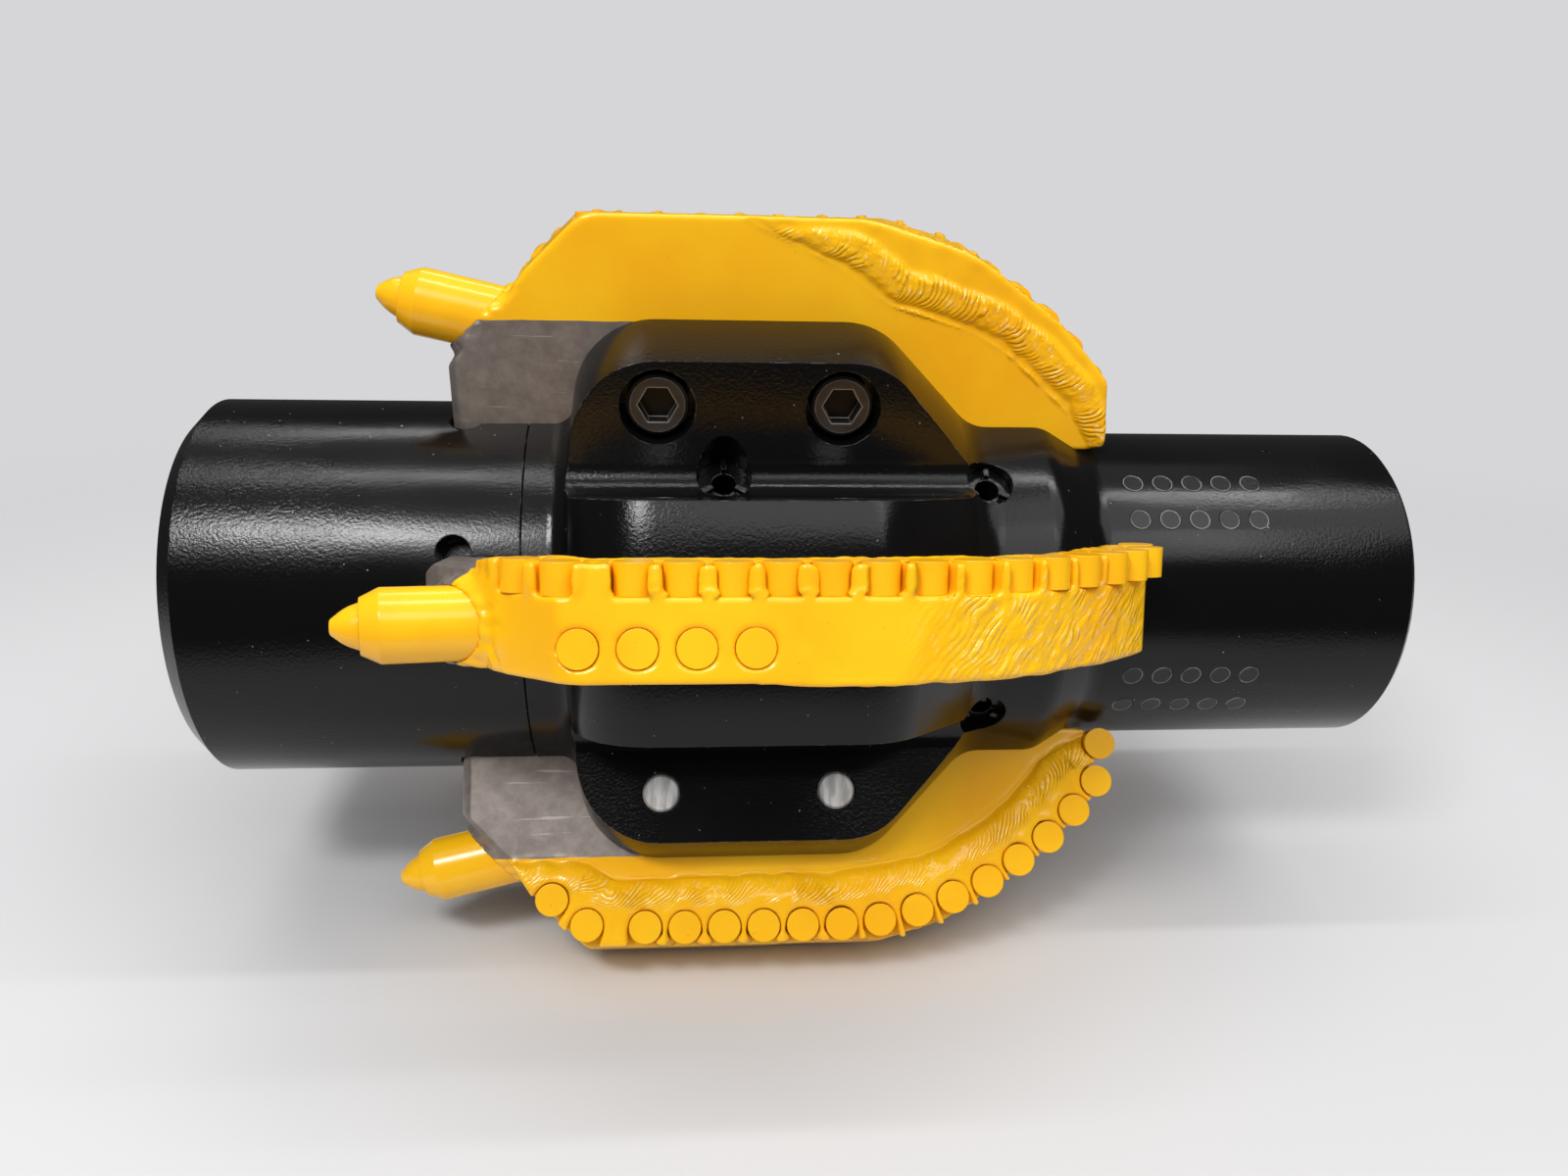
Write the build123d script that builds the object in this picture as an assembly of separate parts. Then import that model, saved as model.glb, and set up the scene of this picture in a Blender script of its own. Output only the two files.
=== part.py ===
from build123d import *

import os
from math import atan2, cos, degrees, hypot, radians, sin, tan

"""Drilling reamer: a forged body with five cutting wings clamped into its hub.

All sizes are in millimetres. Each piece is drawn about the drill axis, which is X, with
x = 0 at the left end face. The pattern wing stands up along Z (its radius) and cuts
towards +Y, its leading side. The finished tool is rolled and lifted at the end, so that
it lies level on two neighbouring wings.
"""

# Large ends. The wall and step sizes tie the inner and smaller diameters to the large one.
left_sub_diameter = 228.6
left_sub_length = 194.0
left_sub_chamfer = 10.0
left_box_wall = 24.1
left_box_mouth_depth = 16.0
left_box_mouth_step = 6.0
left_box_taper = 18.8
spigot_shoulder = 34.3
spigot_length = 44.0
pin_end_step = 16.6
pin_end_length = 190.15
pin_end_fillet = 20.0
end_chamfer = 3.0
right_box_wall = 20.7
right_box_mouth_depth = 16.0
right_box_mouth_step = 4.0
right_box_taper = 20.0
right_box_depth = 133.0
bore_step = 19.0

# Hub with five arms, and the neck behind it
wing_count = 5
collar_length = 26.5
collar_fillet = 12.0
seam_chamfer = 1.0
hub_diameter = 349.0
hub_flat_length = 106.5
hub_front_flat = 0.2
hub_back_radius = 45.0
hub_back_angle = 45.0
hub_back_fillet = 25.0
hub_to_neck_end = 122.7
arm_leading_share = 0.525
arm_trailing_share = 0.595
valley_fillet = 15.0
neck_round = 21.3
neck_taper_angle = 30.0

# Wings. A wing reaches from its lug in the left sub to its tail on the neck.
wing_trailing = -22.0
wing_leading = 27.0
wing_floor_depth = 16.3
wing_standout = 55.0
lug_length = 43.6
tail_overhang = 163.5
gauge_relief_angle = 6.6
cutter_face_height = 7.0
overlay_band = 44.0
overlay_hub_gap = 8.0
overlay_neck_gap = 3.7
overlay_end_gap = 4.0
back_overlay_thickness = 2.0
back_overlay_neck_gap = 9.7
lug_bevel = 5.0
lug_slot_gap = 0.45
slot_relief_diameter = 19.2
slot_relief_offset = 8.0
lock_hole_angle = 15.1

# Edge of a wing from its lug over the gauge to its tail. Each corner is given as a share of the
# wing's length, a share of its height above the slot floor, and a rounding as a share of the height.
wing_edge = [
    (0.0, 0.0, 0.0),
    (0.0, 0.353, 0.023),
    (0.0763, 0.578, 0.15),
    (0.1175, 0.7605, 0.23),
    (0.2025, 1.0, 0.19),
    (0.6071, 1.0, 0.53),
    (0.7668, 0.8669, 0.68),
    (0.9085, 0.5703, 0.68),
    (0.9884, 0.327, 0.09),
    (1.0, 0.0228, 0.03),
    (0.9704, 0.0, 0.0),
]
# Line through the centres of the cutters behind the shoulder, in the same shares
cutter_line = [
    (0.2806, 0.870),
    (0.3411, 0.8745),
    (0.5782, 0.8768),
    (0.638, 0.8631),
    (0.6972, 0.8259),
    (0.7534, 0.7719),
    (0.8088, 0.7057),
    (0.8596, 0.6129),
    (0.9093, 0.511),
    (0.9531, 0.3909),
    (0.9923, 0.257),
    (1.0013, 0.0798),
]
# Centres of the two cutters on the shoulder, in the same shares
shoulder_cutters = [(0.1407, 0.7407), (0.193, 0.8555)]

# Wing screws
screw_pitch = 101.6
screw_shift = -1.65
screw_height_share = 0.4882
screw_diameter = 22.2
screw_head_diameter = 33.3
screw_head_height = 22.2
screw_head_recess = 5.0
screw_socket_flats = 19.05
screw_socket_depth = 11.0
screw_end_chamfer = 1.6
screw_end_recess = 1.0
screw_hole_gap = 0.5
wing_hole_gap = 1.8
counterbore_diameter = 41.7

# Cutters and gauge inserts
cutter_count = 15
cutter_web = 4.2
cutter_length = 16.0
cutter_gap = 0.15
pocket_side_gap = 0.8
gauge_insert_diameter = 19.05
gauge_insert_length = 14.0
gauge_insert_first_share = 0.2154
gauge_insert_pitch_share = 0.07027
gauge_insert_count = 4
gauge_insert_offset = -5.2

# Conical bit on each wing, with a weld bead round its foot
bit_reach = 38.9
bit_height_share = 0.6373
bit_slope = 12.5
bit_cone_diameter = 23.7
bit_cone_length = 14.0
bit_nose_radius = 3.5
bit_cone_bulge = 1.6
bit_shoulder_diameter = 28.5
bit_body_diameter = 38.0
bit_nose_length = 9.5
bit_body_end = 75.0
bit_offset = -1.0
bit_socket_diameter = 19.0
bit_stem_length = 22.0
bead_foot_width = 8.5
bead_top_width = 1.0
bead_sink = 3.5
bead_height = 6.5

# Nozzles
mid_port_diameter = 30.8
mid_port_left_share = 0.35
mid_port_right_share = 0.593
front_port_diameter = 28.0
front_port_gap = 3.7
port_seat_depth = 14.0
passage_diameter = 16.0
nozzle_gap = 0.3
nozzle_recess = 7.0
nozzle_hole_diameter = 14.0
nozzle_rib_width = 3.0
nozzle_rib_height = 4.0
nozzle_rib_gap = 0.5

# Wear buttons on the right end
button_diameter = 12.0
button_length = 8.0
button_start_gap = 23.7
button_pitch = 18.0
button_count = 5
button_half_angle = 7.5
button_gap = 0.2

# How far a cut runs past the surface it opens
overrun = 5.0

wing_step = 360 / wing_count
neck_radius = left_sub_diameter / 2
hub_radius = hub_diameter / 2
gauge_radius = hub_radius + wing_standout
wing_floor_radius = neck_radius - wing_floor_depth
spigot_diameter = left_sub_diameter - 2 * spigot_shoulder
left_box_mouth_diameter = left_sub_diameter - 2 * left_box_wall
left_box_small_diameter = left_box_mouth_diameter - 2 * left_box_taper
pin_end_diameter = left_sub_diameter - 2 * pin_end_step
right_box_mouth_diameter = pin_end_diameter - 2 * right_box_wall
right_box_small_diameter = right_box_mouth_diameter - 2 * right_box_taper
bore_diameter = right_box_small_diameter - 2 * bore_step
arm_leading = neck_radius * arm_leading_share
arm_trailing = -neck_radius * arm_trailing_share
port_seat_radius = wing_floor_radius - port_seat_depth

body_start = left_sub_length
spigot_start = body_start - spigot_length
hub_start = body_start + collar_length
hub_front_radius = hub_radius - neck_radius - collar_fillet - hub_front_flat
hub_flat_start = hub_start + hub_front_radius
hub_flat_end = hub_flat_start + hub_flat_length
slope_start = hub_flat_end + hub_back_radius * tan(radians(hub_back_angle / 2))
slope_end = slope_start + (hub_radius - neck_radius) / tan(radians(hub_back_angle))
neck_end = hub_flat_end + hub_to_neck_end
taper_end = neck_end + pin_end_step / tan(radians(neck_taper_angle))
overall_length = taper_end + pin_end_length

lug_start = body_start - lug_length
wing_length = hub_flat_end + tail_overhang - lug_start
wing_height = gauge_radius - wing_floor_radius
cutter_face = wing_leading + cutter_face_height
screw_centre = hub_flat_start + hub_flat_length / 2 + screw_shift
screw_places = [screw_centre - screw_pitch / 2, screw_centre + screw_pitch / 2]
screw_radius = wing_floor_radius + screw_height_share * (hub_radius - wing_floor_radius)


def rounded_wire(corners):
    """Closed wire through corners (x, y, radius), each corner rounded by its own radius."""
    starts = []
    middles = []
    ends = []
    count = len(corners)
    for i, (x, y, radius) in enumerate(corners):
        corner = Vector(x, y)
        before = Vector(*corners[i - 1][:2]) - corner
        after = Vector(*corners[(i + 1) % count][:2]) - corner
        if radius == 0:
            starts.append(corner)
            middles.append(None)
            ends.append(corner)
            continue
        half = radians(before.get_angle(after)) / 2
        bisector = (before.normalized() + after.normalized()).normalized()
        starts.append(corner + before.normalized() * (radius / tan(half)))
        middles.append(corner + bisector * (radius / sin(half) - radius))
        ends.append(corner + after.normalized() * (radius / tan(half)))
    edges = []
    for i in range(count):
        if middles[i] is not None:
            edges.append(Edge.make_three_point_arc(starts[i], middles[i], ends[i]))
        next_start = starts[(i + 1) % count]
        if (next_start - ends[i]).length > 1e-6:
            edges.append(Edge.make_line(ends[i], next_start))
    return Wire(edges)


def turned(corners):
    """Solid of revolution about the drill axis, from corners (x, radius, rounding)."""
    return revolve(Face(rounded_wire(corners)), Axis.X, 360)


def rod(start, direction, diameter, length):
    """Cylinder that starts at a point and runs along a direction."""
    place = Plane(origin=start, z_dir=direction)
    return place * Cylinder(diameter / 2, length, align=(Align.CENTER, Align.CENTER, Align.MIN))


def side_plate(corners, low, high):
    """Plate with an outline of corners (x, z, rounding), from y = low to y = high."""
    outline = rounded_wire(corners)
    face = Face(outline)
    upright = Rot(X=90) * face
    return extrude(Pos(0, high, 0) * upright, amount=high - low, dir=(0, -1, 0))


def turn(shape, steps):
    """The shape moved round the drill axis by a number of wing steps."""
    return Rot(X=-wing_step * steps) * shape


def radial(angle, radius, x):
    """Point at a radius and an angle from the pattern wing, towards its leading side."""
    return Vector(x, radius * sin(radians(angle)), radius * cos(radians(angle)))


def wing_place(along, up):
    """Point (x, radius) at a share of a wing's length and a share of its height."""
    return lug_start + along * wing_length, wing_floor_radius + up * wing_height


def wing_corner_at(along, up, rounding):
    """Corner (x, radius, rounding) of an outline on a wing, from shares."""
    return (*wing_place(along, up), rounding * wing_height)


def wing_contour():
    """Corners (x, radius, rounding) of a wing's edge, from the lug over the gauge to the tail."""
    return [wing_corner_at(*corner) for corner in wing_edge]


def row_of_centres():
    """Centres (x, radius) of the cutters behind the shoulder, evenly spaced, and their spacing."""
    corners = [Vector(*wing_place(along, up)) for along, up in cutter_line]
    legs = [(second - first).length for first, second in zip(corners, corners[1:])]
    spacing = sum(legs) / (cutter_count - 1)
    centres = []
    for i in range(cutter_count):
        left = spacing * i
        leg = 0
        while leg < len(legs) - 1 and left > legs[leg]:
            left -= legs[leg]
            leg += 1
        point = corners[leg] + (corners[leg + 1] - corners[leg]) * (left / legs[leg])
        centres.append((point.X, point.Y))
    return centres, spacing


def cutter_centres():
    """Centres (x, radius) of one wing's cutters, from the lug end to the tail."""
    row, _ = row_of_centres()
    return [wing_place(along, up) for along, up in shoulder_cutters] + row


def cutter_diameter():
    """Diameter of a cutter, from the spacing of the row and the steel between two cutters."""
    _, spacing = row_of_centres()
    return spacing - cutter_web


def cutter_normals():
    """Direction out of the wing's edge at each cutter, square to the row of centres."""
    centres = cutter_centres()
    normals = []
    for i in range(len(centres)):
        before = centres[max(i - 1, 0)]
        after = centres[min(i + 1, len(centres) - 1)]
        along = Vector(after[0] - before[0], 0, after[1] - before[1]).normalized()
        normals.append(Vector(-along.Z, 0, along.X))
    return normals


def bit_axis():
    """Tip point and direction of the conical bit, which slopes into the wing's shoulder."""
    tip = Vector(lug_start - bit_reach, bit_offset, wing_floor_radius + bit_height_share * wing_height)
    direction = Vector(cos(radians(bit_slope)), 0, -sin(radians(bit_slope)))
    return tip, direction


def left_sub_piece():
    """Ring with the large box connection, and slots for the lugs of the wings."""
    radius = left_sub_diameter / 2
    sub = turned([
        (0, left_box_mouth_diameter / 2, 0),
        (0, radius - left_sub_chamfer, 0),
        (left_sub_chamfer, radius, 0),
        (left_sub_length, radius, 0),
        (left_sub_length, spigot_diameter / 2, 0),
        (spigot_start, spigot_diameter / 2, 0),
        (spigot_start, left_box_small_diameter / 2, 0),
        (left_box_mouth_depth, left_box_mouth_diameter / 2 - left_box_mouth_step, 0),
        (left_box_mouth_depth, left_box_mouth_diameter / 2, 0),
    ])
    slot_low = wing_trailing - lug_slot_gap
    slot_high = wing_leading + lug_slot_gap
    slot_start = lug_start - lug_slot_gap
    slot = Pos(slot_start, (slot_low + slot_high) / 2, wing_floor_radius) * Box(
        left_sub_length + overrun - slot_start,
        slot_high - slot_low,
        wing_floor_depth + overrun,
        align=(Align.MIN, Align.CENTER, Align.MIN),
    )
    relief_x = lug_start + slot_relief_offset
    relief_length = wing_floor_depth + overrun
    cuts = []
    for k in range(wing_count):
        cuts.append(turn(slot, k))
        for side in (-slot_relief_diameter, slot_relief_diameter):
            foot = (relief_x, side, wing_floor_radius)
            corner = rod(foot, (0, 0, 1), slot_relief_diameter, relief_length)
            cuts.append(turn(corner, k))
    lock_direction = radial(lock_hole_angle, 1, 0)
    lock = rod(radial(lock_hole_angle, wing_floor_radius, relief_x), lock_direction,
               slot_relief_diameter, relief_length)
    cuts.append(turn(lock, wing_count - 1))
    return sub - cuts


def port_places():
    """Port centres as (angle, x, surface radius, diameter, is_mid) for each valley."""
    places = []
    for k in range(wing_count):
        angle = wing_step * (k + 0.5)
        share = mid_port_left_share if k % 2 == 0 else mid_port_right_share
        x = hub_flat_start + share * hub_flat_length
        places.append((angle, x, valley_radius(), mid_port_diameter, True))
        places.append((angle, slope_end + front_port_gap, neck_radius, front_port_diameter, False))
    return places


def valley_corner():
    """Where the two walls of the valley beside the pattern wing would meet, as (y, z)."""
    step = radians(wing_step)
    return arm_leading, (-arm_trailing + arm_leading * cos(step)) / sin(step)


def valley_radius():
    """Distance from the drill axis to the valley's rounded bottom."""
    half = radians(wing_step / 2)
    y, z = valley_corner()
    return hypot(y, z) + valley_fillet * (1 / sin(half) - 1)


def valley_cut():
    """Prism that opens the valley between the pattern wing's arm and the next arm."""
    y, z = valley_corner()
    reach = hub_diameter
    step = radians(wing_step)
    outline = rounded_wire([
        (y, z, valley_fillet),
        (y, z + reach, 0),
        (y + reach * sin(step), z + reach, 0),
        (y + reach * sin(step), z + reach * cos(step), 0),
    ])
    start = hub_start - collar_fillet
    section = Plane.YZ.offset(start) * Face(outline)
    return extrude(section, amount=neck_end - start, dir=(1, 0, 0))


def body_piece():
    """Forged body: collar, five arms, neck and the end with the smaller box connection."""
    pin_radius = pin_end_diameter / 2
    body = turned([
        (spigot_start, bore_diameter / 2, 0),
        (spigot_start, spigot_diameter / 2, 0),
        (body_start, spigot_diameter / 2, 0),
        (body_start, neck_radius - seam_chamfer, 0),
        (body_start + seam_chamfer, neck_radius, 0),
        (hub_start, neck_radius, collar_fillet),
        (hub_start, hub_radius, hub_front_radius),
        (slope_start, hub_radius, hub_back_radius),
        (slope_end, neck_radius, hub_back_fillet),
        (neck_end, neck_radius, neck_round),
        (taper_end, pin_radius, pin_end_fillet),
        (overall_length - end_chamfer, pin_radius, 0),
        (overall_length, pin_radius - end_chamfer, 0),
        (overall_length, right_box_mouth_diameter / 2, 0),
        (overall_length - right_box_mouth_depth, right_box_mouth_diameter / 2, 0),
        (overall_length - right_box_mouth_depth, right_box_mouth_diameter / 2 - right_box_mouth_step, 0),
        (overall_length - right_box_depth, right_box_small_diameter / 2, 0),
        (overall_length - right_box_depth, bore_diameter / 2, 0),
    ])
    slot_length = taper_end + pin_end_fillet - body_start
    slot = Pos(body_start + slot_length / 2, (wing_trailing + wing_leading) / 2, wing_floor_radius) * Box(
        slot_length,
        wing_leading - wing_trailing,
        hub_radius,
        align=(Align.CENTER, Align.CENTER, Align.MIN),
    )
    valley = valley_cut()
    head_seat = arm_trailing + screw_head_recess + screw_head_height
    cuts = []
    for k in range(wing_count):
        cuts.append(turn(slot, k))
        cuts.append(turn(valley, k))
        for x in screw_places:
            entry = Vector(x, arm_trailing - overrun, screw_radius)
            through = arm_leading - arm_trailing + 2 * overrun
            bore = rod(entry, (0, 1, 0), screw_diameter + screw_hole_gap, through)
            seat = rod(entry, (0, 1, 0), counterbore_diameter, head_seat - arm_trailing + overrun)
            cuts.append(turn(bore, k))
            cuts.append(turn(seat, k))
    for angle, x, surface, diameter, is_mid in port_places():
        outward = radial(angle, 1, 0)
        cuts.append(rod(radial(angle, port_seat_radius, x), outward, diameter, surface))
        cuts.append(rod(radial(angle, bore_diameter / 4, x), outward, passage_diameter, port_seat_radius))
    for angle, x in button_places():
        floor = pin_radius - button_length
        pocket = rod(radial(angle, floor, x), radial(angle, 1, 0), button_diameter + 2 * button_gap,
                     button_length + overrun)
        cuts.append(pocket)
    return body - cuts


def leading_overlay(contour):
    """Raised band along the wing's edge on its leading side, which holds the cutters."""
    inner = [
        wing_corner_at(0.1252, 0.5627, 0),
        wing_corner_at(0.1948, 0.578, 0.09),
        (wing_place(0.2309, 0)[0], gauge_radius - overlay_band, 0.1 * wing_height),
        (wing_place(0.571, 0)[0], hub_radius + overlay_hub_gap, 0.45 * wing_height),
        wing_corner_at(0.7359, 0.5627, 0.45),
        wing_corner_at(0.8544, 0.3194, 0.23),
        (wing_place(0.906, 0)[0], neck_radius + overlay_neck_gap, 0.06 * wing_height),
        (wing_place(0.9781, 0)[0], wing_floor_radius + overlay_end_gap, 0),
    ]
    outer = [(*contour[2][:2], 0)] + contour[3:10]
    return side_plate(outer + list(reversed(inner)), wing_leading - back_overlay_thickness, cutter_face)


def back_overlay(contour):
    """Thin overlay on the rear half of the wing's trailing side."""
    inner = [
        wing_corner_at(0.5143, 0.8897, 0.15),
        wing_corner_at(0.571, 0.8137, 0.15),
        wing_corner_at(0.6508, 0.654, 0.15),
        wing_corner_at(0.772, 0.5475, 0.15),
        wing_corner_at(0.8286, 0.4563, 0.15),
        (wing_place(0.9317, 0)[0], neck_radius + back_overlay_neck_gap, 0.08 * wing_height),
        (wing_place(0.9755, 0)[0], wing_floor_radius + overlay_end_gap, 0),
    ]
    outer = [wing_corner_at(0.4318, 1, 0)] + contour[5:10]
    low = wing_trailing - back_overlay_thickness
    return side_plate(outer + list(reversed(inner)), low, wing_trailing + back_overlay_thickness)


def bit_bead():
    """Weld bead round the foot of the conical bit, on the slope above the lug."""
    tip, direction = bit_axis()
    low = Vector(*wing_place(*wing_edge[1][:2]))
    high = Vector(*wing_place(*wing_edge[2][:2]))
    slope = (high - low).normalized()
    along = Vector(slope.X, 0, slope.Y)
    outward = Vector(-slope.Y, 0, slope.X)
    foot = Vector(low.X, bit_offset, low.Y)
    depth = (foot - tip).dot(outward) / direction.dot(outward)
    centre = tip + direction * depth
    lean = -direction.dot(outward)
    rings = []
    for height, width in ((-bead_sink, bead_foot_width), (bead_height, bead_top_width)):
        middle = centre - direction * (height / lean)
        ring = Plane(origin=middle, x_dir=along, z_dir=outward) * Face(Wire(Edge.make_ellipse(
            bit_body_diameter / 2 / lean + width, bit_body_diameter / 2 + width
        )))
        rings.append(ring)
    slab = Pos(centre.X, wing_trailing, centre.Z) * Box(
        wing_length, wing_leading - wing_trailing, 2 * wing_height, align=(Align.CENTER, Align.MIN, Align.CENTER)
    )
    return loft(rings) & slab


def wing_piece():
    """Wing plate with its welded overlays, cutter pockets and holes for the screws."""
    contour = wing_contour()
    plate = side_plate(contour, wing_trailing, wing_leading)
    wing = plate + leading_overlay(contour) + back_overlay(contour) + bit_bead()
    relief = Pos(lug_start, wing_trailing, gauge_radius) * Rot(X=-gauge_relief_angle) * Box(
        wing_length, 2 * wing_height, wing_standout, align=(Align.MIN, Align.CENTER, Align.MIN)
    )
    cuts = [relief]
    for x in screw_places:
        start = (x, wing_trailing - overrun, screw_radius)
        through = wing_leading - wing_trailing + 2 * overrun
        cuts.append(rod(start, (0, 1, 0), screw_diameter + wing_hole_gap, through))
    width = cutter_diameter()
    for (x, radius), outward in zip(cutter_centres(), cutter_normals()):
        floor = (x, cutter_face - cutter_length, radius)
        cuts.append(rod(floor, (0, 1, 0), width + 2 * cutter_gap, cutter_length + overrun))
        mouth = Plane(origin=floor, x_dir=outward, z_dir=(0, 1, 0)) * Box(
            width,
            width + 2 * pocket_side_gap,
            cutter_length + overrun,
            align=(Align.MIN, Align.CENTER, Align.MIN),
        )
        cuts.append(mouth)
    for x in gauge_insert_places():
        top, inward = gauge_frame(x)
        cuts.append(rod(top + inward * gauge_insert_length, inward * -1,
                        gauge_insert_diameter + 2 * cutter_gap, gauge_insert_length + overrun))
    tip, direction = bit_axis()
    front = bit_cone_length + bit_nose_length
    cuts.append(rod(tip + direction * front, direction, bit_body_diameter, bit_body_end - front))
    side = lug_bevel * 2 ** 0.5
    for face in (wing_trailing, wing_leading):
        cuts.append(Pos(lug_start, face, gauge_radius / 2) * Rot(Z=45) * Box(side, side, gauge_radius))
    return wing - cuts


def cutter_row():
    """Round cutters of one wing, seated in their pockets."""
    row = []
    for x, radius in cutter_centres():
        floor = (x, cutter_face - cutter_length, radius)
        row.append(rod(floor, (0, 1, 0), cutter_diameter(), cutter_length))
    return row


def gauge_insert_places():
    """Places along the drill axis of the inserts in the gauge face."""
    places = []
    for i in range(gauge_insert_count):
        share = gauge_insert_first_share + gauge_insert_pitch_share * i
        places.append(lug_start + share * wing_length)
    return places


def gauge_frame(x):
    """Centre of a gauge insert on the relieved gauge face, and the direction into the wing."""
    slope = radians(gauge_relief_angle)
    drop = (gauge_insert_offset - wing_trailing) * tan(slope)
    top = Vector(x, gauge_insert_offset, gauge_radius - drop)
    return top, Vector(0, -sin(slope), -cos(slope))


def gauge_insert_set():
    """Flush inserts of one wing's gauge face."""
    inserts = []
    for x in gauge_insert_places():
        top, inward = gauge_frame(x)
        inserts.append(rod(top + inward * gauge_insert_length, inward * -1,
                           gauge_insert_diameter, gauge_insert_length))
    return inserts


def bit_body_piece():
    """Stepped steel body of the conical bit, with a blind hole for the tip's stem."""
    tip, direction = bit_axis()
    place = Plane(origin=tip, z_dir=direction)
    nose = bit_cone_length
    shoulder = nose + bit_nose_length
    outline = rounded_wire([
        (0, nose, 0),
        (bit_shoulder_diameter / 2, nose, 0),
        (bit_body_diameter / 2, shoulder, 0),
        (bit_body_diameter / 2, bit_body_end, 0),
        (0, bit_body_end, 0),
    ])
    body = revolve(Rot(X=90) * Face(outline), Axis.Z, 360)
    stem = Pos(0, 0, nose) * Cylinder(
        bit_socket_diameter / 2, bit_stem_length, align=(Align.CENTER, Align.CENTER, Align.MIN)
    )
    return place * (body - stem)


def bit_tip_piece():
    """Carbide point with a rounded nose and a stem held in the bit's body."""
    tip, direction = bit_axis()
    place = Plane(origin=tip, z_dir=direction)
    middle = (bit_nose_radius + bit_cone_diameter / 2) / 2
    outline = rounded_wire([
        (0, 0, 0),
        (bit_nose_radius, 0, 0.7 * bit_nose_radius),
        (middle + bit_cone_bulge, bit_cone_length / 2, bit_cone_diameter),
        (bit_cone_diameter / 2, bit_cone_length, 0),
        (bit_socket_diameter / 2, bit_cone_length, 0),
        (bit_socket_diameter / 2, bit_cone_length + bit_stem_length, 0),
        (0, bit_cone_length + bit_stem_length, 0),
    ])
    return place * revolve(Rot(X=90) * Face(outline), Axis.Z, 360)


def screw_pair():
    """The two socket head screws that clamp one wing in its slot."""
    pair = []
    head_top = arm_trailing + screw_head_recess
    for x in screw_places:
        place = Plane(origin=(x, head_top, screw_radius), x_dir=(1, 0, 0), z_dir=(0, 1, 0))
        end = arm_leading - screw_end_recess - head_top
        outline = rounded_wire([
            (0, 0, 0),
            (screw_head_diameter / 2 - screw_end_chamfer, 0, 0),
            (screw_head_diameter / 2, screw_end_chamfer, 0),
            (screw_head_diameter / 2, screw_head_height, 0),
            (screw_diameter / 2, screw_head_height, 0),
            (screw_diameter / 2, end - screw_end_chamfer, 0),
            (screw_diameter / 2 - screw_end_chamfer, end, 0),
            (0, end, 0),
        ])
        screw = revolve(Rot(X=90) * Face(outline), Axis.Z, 360)
        socket = extrude(RegularPolygon(screw_socket_flats / 2, 6, major_radius=False), screw_socket_depth)
        pair.append(place * (screw - socket))
    return pair


def nozzle_piece(angle, x, surface, diameter, is_mid):
    """Ring-shaped jet nozzle with three gripping ribs, seated at the bottom of its port."""
    outward = radial(angle, 1, 0)
    place = Plane(origin=radial(angle, port_seat_radius, x), x_dir=(1, 0, 0), z_dir=outward)
    height = surface - nozzle_recess - port_seat_radius
    outer = diameter / 2 - nozzle_gap
    base = (Align.CENTER, Align.CENTER, Align.MIN)
    nozzle = Cylinder(outer, height, align=base) - Cylinder(nozzle_hole_diameter / 2, height, align=base)
    rib = Pos((outer + nozzle_hole_diameter / 2) / 2, 0, height) * Box(
        outer - nozzle_hole_diameter / 2 - 2 * nozzle_rib_gap, nozzle_rib_width, nozzle_rib_height, align=base
    )
    for turn_angle in (90, 210, 330):
        nozzle += Rot(Z=turn_angle) * rib
    return place * nozzle


def button_places():
    """Angles and places along the drill axis of the wear buttons, two rows to a valley."""
    places = []
    for k in range(wing_count):
        for side in (-button_half_angle, button_half_angle):
            for i in range(button_count):
                x = taper_end + button_start_gap + button_pitch * i
                places.append((wing_step * (k + 0.5) + side, x))
    return places


def wear_button(angle, x):
    """Round wear button, its face flush with the surface around it."""
    surface = pin_end_diameter / 2
    start = radial(angle, surface - button_length, x)
    return rod(start, radial(angle, 1, 0), button_diameter, button_length)


def wing_corner(steps, offset, radius):
    """Point (y, z) on the wing a number of steps round, at a side offset and a radius."""
    angle = radians(wing_step * steps)
    return radius * sin(angle) + offset * cos(angle), radius * cos(angle) - offset * sin(angle)


def resting_roll():
    """Roll that lays the gauge faces of the two lowest wings level on the ground."""
    lead_radius = gauge_radius - (cutter_face - wing_trailing) * tan(radians(gauge_relief_angle))
    lower = wing_count // 2
    rear_y, rear_z = wing_corner(lower, cutter_face, lead_radius)
    front_y, front_z = wing_corner(lower + 1, wing_trailing - back_overlay_thickness, gauge_radius)
    return -degrees(atan2(rear_z - front_z, rear_y - front_y))


def laid_down(nodes):
    """Nodes rolled level, standing on z = 0 with the box of the whole tool centred."""
    rolled = {name: Rot(X=resting_roll()) * shape for name, shape in nodes.items()}
    boxes = [shape.bounding_box() for shape in rolled.values()]
    middle_x = (min(box.min.X for box in boxes) + max(box.max.X for box in boxes)) / 2
    middle_y = (min(box.min.Y for box in boxes) + max(box.max.Y for box in boxes)) / 2
    floor = min(box.min.Z for box in boxes)
    shift = Pos(-middle_x, -middle_y, -floor)
    return {name: shift * shape for name, shape in rolled.items()}


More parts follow.
